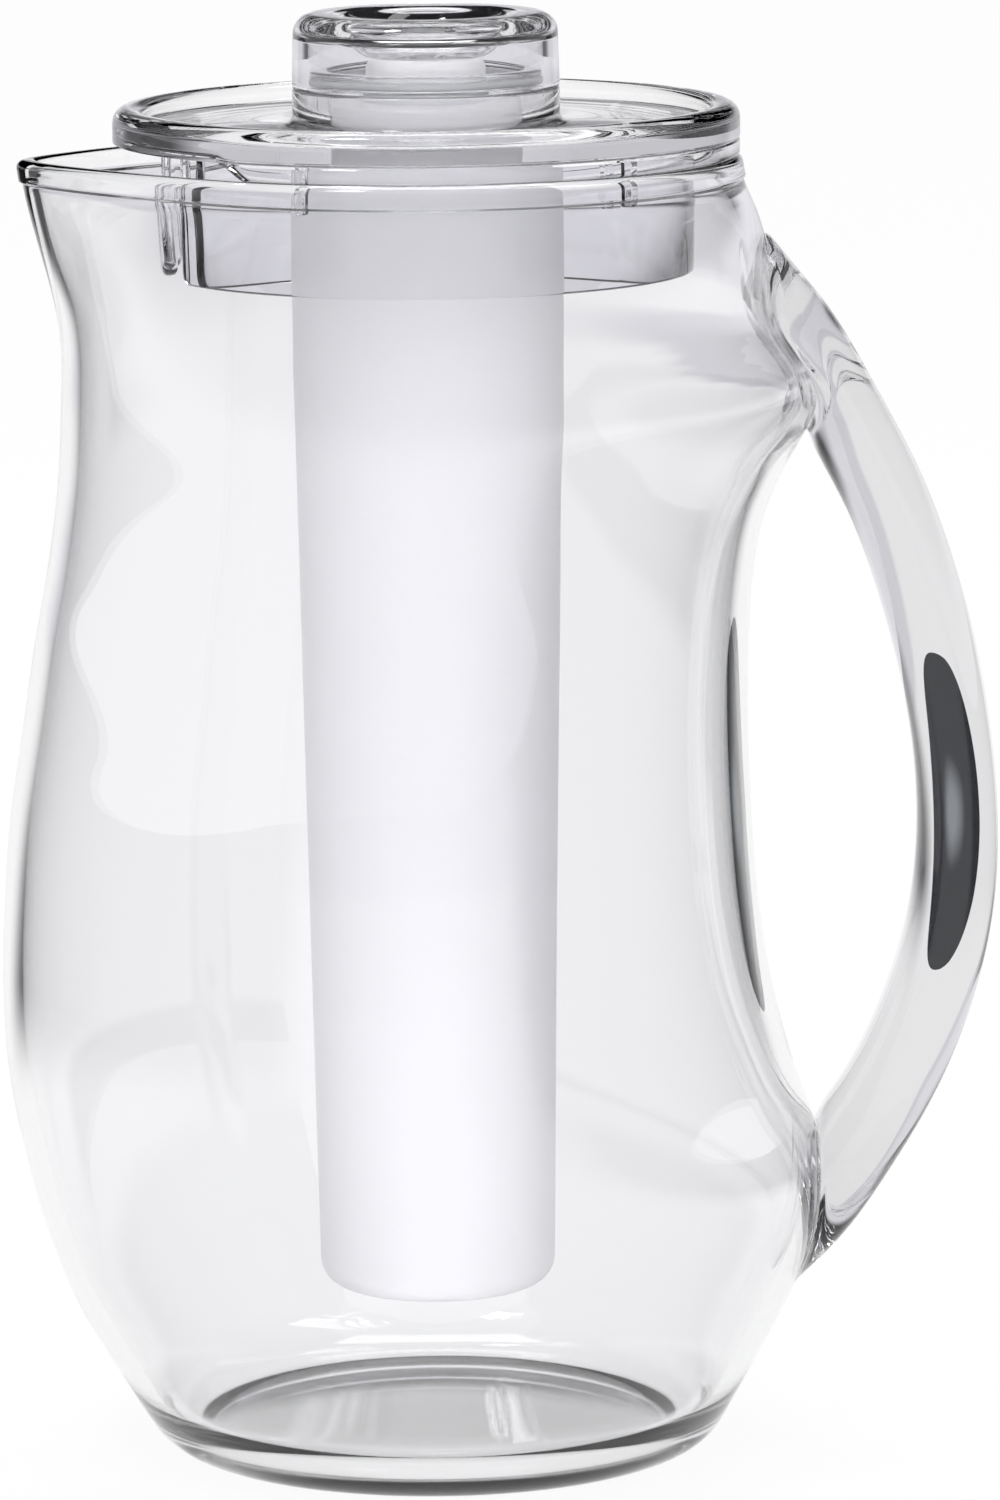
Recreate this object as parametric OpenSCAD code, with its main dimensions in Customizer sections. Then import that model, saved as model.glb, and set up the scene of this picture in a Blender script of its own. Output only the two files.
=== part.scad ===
// Clear acrylic pitcher with a screw-in ice core, a turning strainer lid and a hollow knob.
// Millimetres. +Z is up, the spout points along -X and the handle along +X.
// The origin is the middle of the flat base, on the axis of the round neck.

/* [Pitcher body] */
// Height of the rim's flat top above the table
body_h = 263; // [240:1:300]
// Farthest reach of the belly on the spout side
belly_reach = 88; // [80:1:96]
// Half width of the belly from front to back
belly_half_w = 82.5; // [76:0.5:90]
// Reach of the two bulges that carry the handle
bulge_reach = 78.5; // [74:0.5:84]
// Radius of the base where the side would meet the table
foot_r = 55.4; // [50:0.2:60]
// Radius that rounds the side into the flat base
foot_round_r = 5; // [2:0.5:8]
// Outer radius of the round rim
rim_r = 63.4; // [61:0.2:68]
// Height of the bead along the rim
rim_bead_h = 4.2; // [3:0.2:6]
// Reach of the tip of the spout
spout_reach = 82.8; // [76:0.2:92]
// Thickness of the side wall
wall_t = 4; // [3:0.1:5]
// Thickness of the floor
floor_t = 5; // [3:0.5:8]

/* [Handle] */
// Reach of the handle's outer edge
handle_reach = 114.4; // [106:0.2:126]
// Thickness of the handle at its middle, from its outer to its inner edge
handle_t = 16.4; // [13:0.2:20]
// Depth of the handle from front to back at its middle
handle_depth = 23; // [18:1:28]
// Depth of the handle's two roots
root_depth = 29; // [22:1:34]
// Thickness of the cement film under each root
cement_t = 0.25; // [0.2:0.01:0.35]

/* [Lid] */
// Outer radius of the lid
lid_r = 62.8; // [58:0.2:63]
// Radial thickness of the raised ring round the lid
lid_ring_t = 6; // [4:0.2:8]
// Height of the ring's top above the rim of the pitcher
lid_ring_h = 10.4; // [9:0.2:14]
// Height of the band that stands on the rim of the pitcher
lid_band_h = 3.7; // [2.5:0.1:5]
// Radial thickness of that band
lid_band_t = 4.2; // [3:0.2:5]
// Thickness of the lid's plate
lid_plate_t = 3; // [2.5:0.1:4]
// Half angle over which the band is left out, over the spout
band_gap_half_a = 52; // [40:1:60]

/* [Strainer] */
// Outer radius of the skirt that hangs from the lid
skirt_r = 53.4; // [50:0.2:55]
// Thickness of the skirt
skirt_t = 2; // [1.5:0.1:3]
// Depth of the skirt below the rim of the pitcher
skirt_drop = 23; // [15:0.5:30]
// Half angle of the skirt's pouring gap
pour_half_a = 27; // [22:1:32]
// Width of each strainer finger
finger_w = 3.8; // [3:0.1:5]
// Radial thickness of each strainer finger
finger_t = 3; // [2:0.1:4]
// Angle of each finger from the middle of the gap
finger_a = 9.7; // [8:0.1:11]
// Width of each centring rib
rib_w = 1.7; // [1:0.1:3]
// How far each rib stands out of the skirt
rib_out = 2.4; // [1:0.1:4]
// Depth of each rib below the rim of the pitcher
rib_drop = 6.5; // [4:0.5:12]

/* [Collar and knob] */
// Outer radius of the collar, and of the knob at its foot
collar_r = 26.8; // [25:0.1:29]
// Height of the collar above the lid's plate
collar_h = 7.1; // [6:0.1:9]
// Height of the threaded spigot above the collar
spigot_h = 4; // [3:0.1:5]
// Radius of the hole through the lid
lid_bore_r = 19.6; // [18:0.1:20.5]
// Height of the knob
knob_h = 14.9; // [13:0.1:18]
// Thickness of the knob's side wall
knob_wall_t = 3.3; // [2.5:0.1:4]
// Radius of the knob's upper shoulder
knob_round_r = 5; // [3:0.5:6]
// Radius of the dish in the top of the knob
dish_r = 17.3; // [14:0.1:19]
// Depth of the dish
dish_depth = 5.8; // [4:0.1:7]
// Thickness of the knob's top
knob_top_t = 3; // [2:0.1:4]

/* [Ice core] */
// Outer radius of the core at its top
core_r = 27.2; // [26.5:0.1:29]
// Outer radius of the core just above its rounded foot
core_foot_r = 23.8; // [20:0.1:25]
// Height of the core's foot above the table
core_foot_z = 32.5; // [20:0.5:60]
// Radius that rounds the core's foot
core_round_r = 5.5; // [3:0.5:8]
// Thickness of the core's wall
core_wall_t = 2.4; // [1.8:0.1:2.6]
// Length of the core's straight top part, below the rim of the pitcher
core_straight_h = 43; // [20:1:60]
// Depth of the threaded socket under the lid
socket_drop = 6.3; // [5:0.1:12]
// Outer radius of the filling neck
neck_r = 13.5; // [12.8:0.1:16]
// Thickness of the neck's wall
neck_wall_t = 3.5; // [2:0.1:4]
// Height of the neck above the core's raised shoulder
neck_h = 1.5; // [0.5:0.1:3]
// Radius of the white seal plug's head
plug_r = 12; // [11.5:0.1:13]
// Height of the plug's head
plug_head_h = 6.6; // [5:0.1:8]
// Length of the plug's stem inside the neck
plug_stem_h = 6; // [3:0.5:8]

/* [Seals and fits] */
// Thickness of the washer between the core and the lid
core_seal_t = 2; // [1:0.1:3]
// Thickness of the washer on the core's neck
neck_seal_t = 1; // [0.8:0.1:1.5]
// Thickness of the round ring in the spigot
ring_seal_t = 1.6; // [1.2:0.1:2]
// Radial gap between threaded parts
thread_gap = 0.3; // [0.2:0.05:0.5]
// Radial gap where a soft part slides
soft_gap = 0.25; // [0.15:0.05:0.4]
// Gap that keeps a face clear of the face above it
face_gap = 0.3; // [0.2:0.05:0.5]

/* [Hidden] */
$fn = 96;

// How far a cutting shape runs past the solid that it cuts
overrun = 1;
half_turn = 180;
quarter_turn = 90;

// Heights of the stack, from the rim of the pitcher up
rim_z = body_h;
plate_low_z = rim_z + lid_band_h;
plate_top_z = plate_low_z + lid_plate_t;
ring_top_z = rim_z + lid_ring_h;
collar_top_z = plate_top_z + collar_h;
spigot_top_z = collar_top_z + spigot_h;
knob_top_z = collar_top_z + knob_h;
dish_floor_z = knob_top_z - dish_depth;
dish_under_z = dish_floor_z - knob_top_t;
plug_top_z = dish_under_z;
plug_low_z = plug_top_z - plug_head_h;
neck_top_z = plug_low_z - neck_seal_t;
socket_z = rim_z - socket_drop;
shoulder_z = socket_z - core_seal_t;
skirt_low_z = rim_z - skirt_drop;

// The outline seen from the front: [height, reach] as shares of the body's height and of the named reach.
// Spout side, of belly_reach, from the foot to the root of the spout
spout_side_shares = [[0.045, 0.716], [0.12, 0.845], [0.17, 0.902], [0.228, 0.949], [0.3, 0.988],
    [0.365, 0.997], [0.44, 0.988], [0.5, 0.971], [0.565, 0.94], [0.63, 0.91], [0.69, 0.876], [0.755, 0.85],
    [0.82, 0.84]];
// Handle side, of bulge_reach, from the foot to the neck, with the hollow that gives the fingers room
handle_side_shares = [[0.045, 0.788], [0.08, 0.851], [0.12, 0.92], [0.165, 0.984], [0.212, 1.003],
    [0.25, 0.98], [0.29, 0.931], [0.335, 0.89], [0.38, 0.858], [0.44, 0.833], [0.5, 0.82], [0.565, 0.813],
    [0.63, 0.816], [0.68, 0.828], [0.725, 0.856], [0.765, 0.915], [0.8, 0.985], [0.822, 1], [0.85, 0.955],
    [0.872, 0.903], [0.891, 0.886]];
// Front and back, of belly_half_w, from the foot to the neck
front_shares = [[0.045, 0.758], [0.12, 0.885], [0.17, 0.944], [0.228, 0.98], [0.3, 0.998], [0.365, 1],
    [0.44, 0.993], [0.5, 0.982], [0.565, 0.966], [0.63, 0.947], [0.69, 0.928], [0.755, 0.908], [0.82, 0.885],
    [0.88, 0.853]];
// Neck between the belly and the rim, of rim_r
neck_shares = [[0.91, 1.088], [0.94, 1.065], [0.965, 1.029], [0.984, 0.99], [1, 0.987]];
// Tip of the spout, of spout_reach
spout_tip_shares = [[0.85, 0.89], [0.88, 0.899], [0.91, 0.921], [0.94, 0.947], [0.965, 0.968], [0.984, 0.98],
    [1, 0.986]];
// Heights between which the belly's outline turns into the spout's, as shares of the body's height
spout_start_share = 0.79;
spout_full_share = 0.95;
// Half angle that the spout takes of the neck, the angle that blunts its tip, and the hollow of its flanks
spout_half_a = 50;
spout_blunt_a = 3.5;
spout_hollow = 2.4;

// Rings and points of the body's skin: more points round the spout, where it turns sharply
skin_steps = 64;
skin_crowding = 0.5;
foot_rings = 4;
inside_rings = 25;
corner_rings = 4;
// Heights that part the side into zones, as shares of the body's height, and the rings in each zone:
// close together over the two bulges, where the handle is cemented on
zone_shares = [0.105, 0.3, 0.72, 0.9];
zone_rings = [4, 13, 9, 12, 3];
// Inner corner round the floor
floor_round_r = 9;
// Rounding of the rim's edges
rim_round_r = 1.1;
// How far the rim's bead stands out of the neck below it
bead_out = 0.7;

// Smooth curve through [place, value] points
function stretch(p, t, i = 0) = i >= len(p) - 2 || t < p[i + 1][0] ? i : stretch(p, t, i + 1);
function tilt(p, i) = let (a = max(i - 1, 0), b = min(i + 1, len(p) - 1))
    (p[b][1] - p[a][1]) / (p[b][0] - p[a][0]);
function curve(p, t) = let (i = stretch(p, t), w = p[i + 1][0] - p[i][0], u = (t - p[i][0]) / w)
    p[i][1] * (1 + 2 * u) * (1 - u) * (1 - u) + tilt(p, i) * w * u * (1 - u) * (1 - u)
    + p[i + 1][1] * u * u * (3 - 2 * u) + tilt(p, i + 1) * w * u * u * (u - 1);
function ease(t) = let (u = min(1, max(0, t))) u * u * (3 - 2 * u);

// The whole outline of each side as [height, reach] in millimetres
function sized(shares, reach) = [for (p = shares) [p[0] * body_h, p[1] * reach]];
foot_point = [[0, foot_r]];
neck_points = sized(neck_shares, rim_r);
spout_side = concat(foot_point, sized(spout_side_shares, belly_reach), sized(spout_tip_shares, spout_reach));
handle_side = concat(foot_point, sized(handle_side_shares, bulge_reach), neck_points);
front_side = concat(foot_point, sized(front_shares, belly_half_w), neck_points);

// Radius of a section at angle a from the spout, for its three reaches and how far the spout is formed
function beak(a) = let (blunted = sqrt(a * a + spout_blunt_a * spout_blunt_a) - spout_blunt_a)
    pow(max(0, 1 - blunted / spout_half_a), spout_hollow);
function oval_r(a, end_r, side_r) = 1 / sqrt(pow(cos(a) / end_r, 2) + pow(sin(a) / side_r, 2));
function section_r(a, spout_r, handle_r, front_r, formed) = abs(a) > quarter_turn
    ? oval_r(a, handle_r, front_r)
    : (1 - formed) * oval_r(a, spout_r, front_r) + formed * (front_r + (spout_r - front_r) * beak(a));
function formed_at(z) = ease((z / body_h - spout_start_share) / (spout_full_share - spout_start_share));

// Sideways thickness of the wall where the outline leans, and the rounding that a corner takes off
lean_step = wall_t / 4;
function lean(p, z) = let (low = max(z - lean_step, 0), high = min(z + lean_step, body_h))
    (curve(p, high) - curve(p, low)) / (high - low);
function slant_wall(p, z) = wall_t * sqrt(1 + pow(lean(p, z), 2));
function rounded_off(r, up) = up >= r ? 0 : r - sqrt(max(0, r * r - (r - up) * (r - up)));

// Reach of the outer and the inner skin
bead_low_z = rim_z - rim_bead_h;
function bead(z) = bead_out * ease((z - bead_low_z + bead_out) / bead_out)
    - rounded_off(rim_round_r, rim_z - z);
function outer_reach(p, z) = curve(p, z) - rounded_off(foot_round_r, z) + bead(z);
function inner_reach(p, z) = curve(p, z) - slant_wall(p, z) - rounded_off(floor_round_r, z - floor_t);
function skin_angle(i) = let (u = 2 * i / skin_steps - 1)
    half_turn * u - skin_crowding * half_turn / PI * sin(half_turn * u);
function skin_point(a, r, z) = [-r * cos(a), -r * sin(a), z];
function outer_ring(z) = [for (i = [0 : skin_steps - 1]) let (a = skin_angle(i))
    skin_point(a, section_r(a, outer_reach(spout_side, z), outer_reach(handle_side, z),
        outer_reach(front_side, z), formed_at(z)), z)];
function inner_ring(z) = [for (i = [0 : skin_steps - 1]) let (a = skin_angle(i))
    skin_point(a, section_r(a, inner_reach(spout_side, z), inner_reach(handle_side, z),
        inner_reach(front_side, z), formed_at(z)), z)];

// Heights of the rings, closer together where the outline turns
function rounding_heights(r, n) = [for (k = [0 : n - 1]) r * (1 - cos(quarter_turn * k / n))];
function even_heights(low, high, n) = [for (k = [0 : n]) low + (high - low) * k / n];
rim_heights = [for (k = [1 : 3]) rim_z - rim_round_r * (1 - sin(quarter_turn * k / 3))];
zone_ends = concat([foot_round_r], [for (share = zone_shares) share * body_h], [bead_low_z - bead_out]);
side_heights = concat([foot_round_r], [for (k = [0 : len(zone_rings) - 1], i = [1 : zone_rings[k]])
    zone_ends[k] + (zone_ends[k + 1] - zone_ends[k]) * i / zone_rings[k]]);
outer_heights = concat(rounding_heights(foot_round_r, foot_rings), side_heights,
    [bead_low_z - bead_out / 2, bead_low_z, rim_z - rim_round_r], rim_heights);
inner_heights = concat([for (h = rounding_heights(floor_round_r, corner_rings)) floor_t + h],
    even_heights(floor_t + floor_round_r, rim_z, inside_rings));

// Closed skin over a list of equal rings, with a flat cap on the first and the last
function band_faces(rings, n) = [for (k = [0 : rings - 2], i = [0 : n - 1]) let (j = (i + 1) % n)
    each [[k * n + i, k * n + n + i, k * n + j], [k * n + j, k * n + n + i, k * n + n + j]]];
function cap_faces(rings, n) = [[for (i = [0 : n - 1]) i], [for (i = [0 : n - 1]) rings * n - 1 - i]];
module skin(rings) {
    n = len(rings[0]);
    polyhedron(points = [for (ring = rings) each ring],
        faces = concat(band_faces(len(rings), n), cap_faces(len(rings), n)), convexity = 8);
}

module pitcher_body() {
    outer = [for (z = outer_heights) outer_ring(z)];
    inner = [for (k = [len(inner_heights) - 1 : -1 : 0]) inner_ring(inner_heights[k])];
    color("azure", 0.35) skin(concat(outer, inner));
}

// Handle: for its outer and then its inner edge, how far it stands out on the way from the pitcher's side
// to that edge's own reach, and its height as a share of body_h
handle_shares = [[0.014, 0.938, 0.012, 0.788], [0.129, 0.907, 0.206, 0.77], [0.259, 0.872, 0.373, 0.751],
    [0.348, 0.812, 0.568, 0.72], [0.691, 0.742, 0.733, 0.673], [0.874, 0.652, 0.884, 0.606],
    [0.966, 0.562, 0.971, 0.546], [1, 0.484, 1, 0.486], [0.981, 0.412, 0.966, 0.428],
    [0.886, 0.342, 0.85, 0.373], [0.692, 0.274, 0.63, 0.319], [0.397, 0.214, 0.368, 0.282],
    [0.166, 0.161, 0.134, 0.261], [0, 0.122, 0.009, 0.247]];
handle_steps = 36;
handle_rings = 44;
root_cap_rings = 6;
// Squareness of the handle's section: 2 is a plain oval
handle_square = 2.5;
// Length of each root's flare, as a share of the handle's length
root_flare_share = 0.22;
// Least rise from the pitcher's side at each section away from a root
root_rise = 0.5;
last_knot = len(handle_shares) - 1;
function edge_x(column, reach) = [for (k = [0 : last_knot])
    let (side = curve(handle_side, handle_shares[k][column + 1] * body_h))
    [k, side + handle_shares[k][column] * (reach - side)]];
function edge_z(column) = [for (k = [0 : last_knot]) [k, handle_shares[k][column + 1] * body_h]];
outer_edge_x = edge_x(0, handle_reach);
outer_edge_z = edge_z(0);
inner_edge_x = edge_x(2, handle_reach - handle_t);
inner_edge_z = edge_z(2);

// Where the pitcher's outside lies on the handle side, at a place given by its depth and height
function side_x(y, z) = outer_reach(handle_side, z) * sqrt(1 - pow(y / outer_reach(front_side, z), 2));
function squared(c) = sign(c) * pow(abs(c), 2 / handle_square);
function half_depth(share) = let (flare = 1 - ease(min(share, 1 - share) / root_flare_share))
    (handle_depth + (root_depth - handle_depth) * flare) / 2;
// One section: across the handle from its inner to its outer edge, and from front to back
function handle_ring(share, size = 1) = let (k = share * last_knot,
    xo = curve(outer_edge_x, k), zo = curve(outer_edge_z, k),
    xi = curve(inner_edge_x, k), zi = curve(inner_edge_z, k))
    [for (i = [0 : handle_steps - 1]) let (a = -2 * half_turn * i / handle_steps,
        c = size * squared(cos(a)) / 2, y = size * half_depth(share) * squared(sin(a)))
        [(xo + xi) / 2 + c * (xo - xi), y, (zo + zi) / 2 + c * (zo - zi)]];
// A root's face follows the pitcher's side at the thickness of the cement
function on_side(ring) = [for (p = ring) [side_x(p[1], p[2]) + cement_t, p[1], p[2]]];
function root_cap(share) = [for (k = [1 : root_cap_rings]) on_side(handle_ring(share, k / root_cap_rings))];
// The sections between the roots keep clear of the pitcher's side
function off_side(ring, rise) = [for (p = ring)
    [max(p[0], side_x(p[1], p[2]) + cement_t + rise), p[1], p[2]]];
function reversed(list) = [for (k = [len(list) - 1 : -1 : 0]) list[k]];

module handle() {
    middle = [for (k = [1 : handle_rings - 1])
        off_side(handle_ring(k / handle_rings), root_rise * min(k, handle_rings - k))];
    color("azure", 0.45) skin(concat(root_cap(0), middle, reversed(root_cap(1))));
}

// Lid
lid_edge_r = 0.8;
lid_ring_round_r = lid_ring_t / 2;
collar_fillet_r = 2;
skirt_corner_r = 2;
// The fingers stand in the skirt's own circle, set back a little from its outside
finger_setback = 0.3;
// What hangs from the plate is rooted this far into it
hang_root = lid_plate_t / 2;
rib_angles = [64, 135];
spout_dir = half_turn;
// Radius of the socket's thread under the lid, inside the core's top
socket_r = core_r - core_wall_t - thread_gap;
spigot_r = collar_r - knob_wall_t - thread_gap;
ring_groove_h = ring_seal_t + soft_gap * 2;
ring_groove_z = collar_top_z + (spigot_h - ring_groove_h) / 2;
ring_groove_r = spigot_r - ring_seal_t - soft_gap + thread_gap;

module tube(outer_r, inner_r, low_z, high_z) {
    translate([0, 0, low_z]) difference() {
        cylinder(r = outer_r, h = high_z - low_z);
        translate([0, 0, -overrun]) cylinder(r = inner_r, h = high_z - low_z + 2 * overrun);
    }
}

module lid_ring() {
    rotate_extrude() {
        translate([lid_r - lid_ring_t, plate_low_z])
            square([lid_ring_t - lid_edge_r, ring_top_z - lid_ring_round_r - plate_low_z]);
        translate([lid_r - lid_ring_t, plate_low_z + lid_edge_r])
            square([lid_ring_t, ring_top_z - lid_ring_round_r - plate_low_z - lid_edge_r]);
        translate([lid_r - lid_edge_r, plate_low_z + lid_edge_r]) circle(r = lid_edge_r);
        translate([lid_r - lid_ring_round_r, ring_top_z - lid_ring_round_r]) circle(r = lid_ring_round_r);
    }
}

// The band under the ring stands on the pitcher's rim and is left out over the spout
module lid_band() {
    difference() {
        tube(lid_r, lid_r - lid_band_t, rim_z, plate_low_z + hang_root);
        gap_x = (lid_r + overrun) * cos(band_gap_half_a);
        gap_y = gap_x * tan(band_gap_half_a);
        reach = lid_r + overrun;
        translate([0, 0, rim_z - overrun]) linear_extrude(lid_band_h + overrun)
            polygon([[0, 0], [-gap_x, gap_y], [-reach, gap_y], [-reach, -gap_y], [-gap_x, -gap_y]]);
    }
}

module collar() {
    tube(collar_r, lid_bore_r, plate_top_z - hang_root, collar_top_z);
    // Fillet at the collar's foot
    rotate_extrude() difference() {
        translate([collar_r, plate_top_z]) square(collar_fillet_r);
        translate([collar_r + collar_fillet_r, plate_top_z + collar_fillet_r]) circle(r = collar_fillet_r);
    }
    difference() {
        tube(spigot_r, lid_bore_r, collar_top_z - hang_root, spigot_top_z);
        tube(spigot_r + overrun, ring_groove_r, ring_groove_z, ring_groove_z + ring_groove_h);
    }
}

// The pouring gap: a window through the skirt whose lower corners are rounded
module pour_window() {
    half_w = skirt_r * sin(pour_half_a);
    drop = plate_low_z - skirt_low_z;
    rotate([quarter_turn, 0, -quarter_turn]) linear_extrude(skirt_r + overrun) {
        translate([-half_w, skirt_low_z - overrun]) square([2 * half_w, drop + overrun]);
        for (side = [-1, 1]) difference() {
            translate([side * (half_w + skirt_corner_r / 2) - skirt_corner_r / 2, skirt_low_z - overrun])
                square([skirt_corner_r, skirt_corner_r + overrun]);
            translate([side * (half_w + skirt_corner_r), skirt_low_z + skirt_corner_r])
                circle(r = skirt_corner_r);
        }
    }
}

// A bar with a round lower end, standing on the skirt's circle at an angle from the spout
module hanging_bar(angle, width, inner_r, outer_r, low_z) {
    rotate([0, 0, angle]) translate([-inner_r, 0, 0]) rotate([quarter_turn, 0, -quarter_turn])
        linear_extrude(outer_r - inner_r) {
            translate([-width / 2, low_z + width / 2])
                square([width, plate_low_z + hang_root - low_z - width / 2]);
            translate([0, low_z + width / 2]) circle(d = width);
        }
}

module lid() {
    finger_out_r = skirt_r - finger_setback;
    color("azure", 0.35) {
        tube(lid_r - lid_ring_t / 2, lid_bore_r, plate_low_z, plate_top_z);
        lid_ring();
        lid_band();
        collar();
        tube(socket_r, lid_bore_r, socket_z, plate_low_z + hang_root);
        difference() {
            tube(skirt_r, skirt_r - skirt_t, skirt_low_z, plate_low_z + hang_root);
            pour_window();
        }
        for (side = [-1, 1]) {
            hanging_bar(side * finger_a, finger_w, finger_out_r - finger_t, finger_out_r, skirt_low_z);
            for (a = rib_angles)
                hanging_bar(side * a, rib_w, skirt_r - skirt_t / 2, skirt_r + rib_out, rim_z - rib_drop);
        }
    }
}

// Knob: a hollow cap with a dish in its top and a small boss that carries the seal plug
knob_taper = 0.4;
knob_cavity_r = collar_r - knob_wall_t;
dish_flat_share = 0.62;
dish_edge_r = 1.2;
dish_curve_points = 12;
boss_r = 4;
boss_h = 3;
boss_gap = 0.05;

// Height of the dish's surface at radius r, falling from its edge to its flat middle
function dish_fall(r) = let (flat_r = dish_r * dish_flat_share)
    ease((dish_r - r) / (dish_r - flat_r));
function dish_line(top_z, floor_z, shift) = [for (k = [0 : dish_curve_points])
    let (r = dish_r * (1 - (1 - dish_flat_share) * k / dish_curve_points))
    [r + shift * (1 - k / dish_curve_points), top_z - (top_z - floor_z) * dish_fall(r)]];

module knob() {
    top_r = collar_r - knob_taper;
    roof_z = knob_top_z - knob_top_t;
    color("azure", 0.35) {
        rotate_extrude() {
            // Side wall and shoulder
            difference() {
                union() {
                    polygon([[0, collar_top_z], [collar_r, collar_top_z], [top_r, knob_top_z - knob_round_r],
                        [top_r - knob_round_r, knob_top_z], [0, knob_top_z]]);
                    intersection() {
                        translate([top_r - knob_round_r, knob_top_z - knob_round_r]) circle(r = knob_round_r);
                        translate([0, knob_top_z - knob_round_r]) square([collar_r, knob_round_r]);
                    }
                }
                // Cavity up to the roof, and the roof's fall under the dish
                polygon(concat([[0, collar_top_z - overrun], [knob_cavity_r, collar_top_z - overrun],
                    [knob_cavity_r, roof_z - dish_edge_r], [knob_cavity_r - dish_edge_r, roof_z]],
                    dish_line(roof_z, dish_under_z, knob_top_t), [[0, dish_under_z]]));
                // The dish itself
                polygon(concat([[0, knob_top_z + overrun], [dish_r + dish_edge_r, knob_top_z + overrun]],
                    [[dish_r + dish_edge_r, knob_top_z]],
                    dish_line(knob_top_z - dish_edge_r / 4, dish_floor_z, 0), [[0, dish_floor_z]]));
            }
        }
        translate([0, 0, dish_under_z - boss_h]) cylinder(r = boss_r, h = boss_h + knob_top_t / 2);
    }
}

// White plug under the knob: its head lies on the neck's washer and its stem enters the neck
plug_round_r = 2;
plug_stem_r = neck_r - neck_wall_t - soft_gap;
plug_stem_lead = 0.8;
module seal_plug() {
    stem_low_z = plug_low_z - plug_stem_h;
    color("white") rotate_extrude() difference() {
        union() {
            translate([0, plug_low_z]) square([plug_r, plug_head_h - plug_round_r]);
            translate([0, plug_low_z]) square([plug_r - plug_round_r, plug_head_h]);
            translate([plug_r - plug_round_r, plug_top_z - plug_round_r]) circle(r = plug_round_r);
            // Stem with its lead-in, rooted in the head
            polygon([[0, stem_low_z], [plug_stem_r - plug_stem_lead, stem_low_z],
                [plug_stem_r, stem_low_z + plug_stem_lead], [plug_stem_r, plug_low_z + plug_round_r],
                [0, plug_low_z + plug_round_r]]);
        }
        // Socket for the knob's boss
        translate([0, plug_top_z - boss_h - face_gap])
            square([boss_r + boss_gap, boss_h + face_gap + overrun]);
        // Hollow of the stem
        translate([0, stem_low_z - overrun]) square([plug_stem_r - core_wall_t, plug_stem_h + overrun]);
    }
}

// Ice core: tapered tube with a round foot, a threaded socket, a raised shoulder and a filling neck
core_top_z = plate_low_z - face_gap;
core_taper_z = rim_z - core_straight_h;
// The raised shoulder fills the lid's hole
raised_r = lid_bore_r - thread_gap;
raised_z = neck_top_z - neck_h;
module core_tube(inset) {
    foot_round_r = core_round_r - inset;
    foot_z = core_foot_z + inset;
    knee_z = foot_z + foot_round_r;
    top_z = shoulder_z - core_wall_t;
    polygon([[0, foot_z], [core_foot_r - inset - foot_round_r, foot_z], [core_foot_r - inset, knee_z],
        [core_r - inset, core_taper_z], [core_r - inset, top_z], [0, top_z]]);
    translate([core_foot_r - inset - foot_round_r, knee_z]) intersection() {
        circle(r = foot_round_r);
        translate([0, -foot_round_r]) square(foot_round_r);
    }
}
module ice_core() {
    neck_bore_r = neck_r - neck_wall_t;
    color("whitesmoke") rotate_extrude() difference() {
        union() {
            core_tube(0);
            translate([0, shoulder_z - core_wall_t]) square([core_r, core_wall_t]);
            translate([core_r - core_wall_t, shoulder_z]) square([core_wall_t, core_top_z - shoulder_z]);
            translate([0, shoulder_z]) square([raised_r, raised_z - shoulder_z]);
            translate([0, shoulder_z]) square([neck_r, neck_top_z - shoulder_z]);
        }
        core_tube(core_wall_t);
        translate([0, shoulder_z - core_wall_t - overrun])
            square([raised_r - core_wall_t, raised_z - shoulder_z + overrun]);
        translate([0, raised_z - core_wall_t - overrun])
            square([neck_bore_r, neck_h + core_wall_t + 2 * overrun]);
    }
}

// Silicone washer between the core's shoulder and the end of the lid's socket
module core_seal() {
    color("gainsboro") tube(socket_r, lid_bore_r, shoulder_z, socket_z);
}

// Silicone washer on the end of the core's neck
module neck_seal() {
    washer_r = plug_r + (neck_r - plug_r) / 2;
    color("gainsboro") tube(washer_r, plug_stem_r + soft_gap, neck_top_z, plug_low_z);
}

// Round silicone ring in the spigot's groove, inside the foot of the knob
module knob_seal() {
    color("gainsboro") rotate_extrude()
        translate([ring_groove_r + soft_gap / 2 + ring_seal_t / 2, ring_groove_z + ring_groove_h / 2])
            circle(d = ring_seal_t);
}

pitcher_body();
handle();
lid();
knob();
seal_plug();
ice_core();
core_seal();
neck_seal();
knob_seal();
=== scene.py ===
import math

import bmesh
import bpy
import numpy as np
from mathutils import Matrix, Vector


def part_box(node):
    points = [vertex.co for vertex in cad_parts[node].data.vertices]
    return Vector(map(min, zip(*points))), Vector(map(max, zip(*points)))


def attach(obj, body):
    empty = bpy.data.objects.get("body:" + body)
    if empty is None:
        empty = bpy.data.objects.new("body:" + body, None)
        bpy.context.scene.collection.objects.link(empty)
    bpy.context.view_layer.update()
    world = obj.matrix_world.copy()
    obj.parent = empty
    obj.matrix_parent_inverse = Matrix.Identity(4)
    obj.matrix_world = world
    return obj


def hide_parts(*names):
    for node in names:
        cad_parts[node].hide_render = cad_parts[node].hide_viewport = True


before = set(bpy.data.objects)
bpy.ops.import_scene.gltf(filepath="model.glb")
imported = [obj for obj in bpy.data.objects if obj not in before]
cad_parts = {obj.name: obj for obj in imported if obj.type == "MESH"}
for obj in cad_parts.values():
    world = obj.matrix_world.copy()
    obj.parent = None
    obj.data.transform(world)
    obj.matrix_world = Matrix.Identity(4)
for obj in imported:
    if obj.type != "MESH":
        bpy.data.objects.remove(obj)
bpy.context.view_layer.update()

print("frame loaded:", ", ".join(sorted(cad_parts)))

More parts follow.
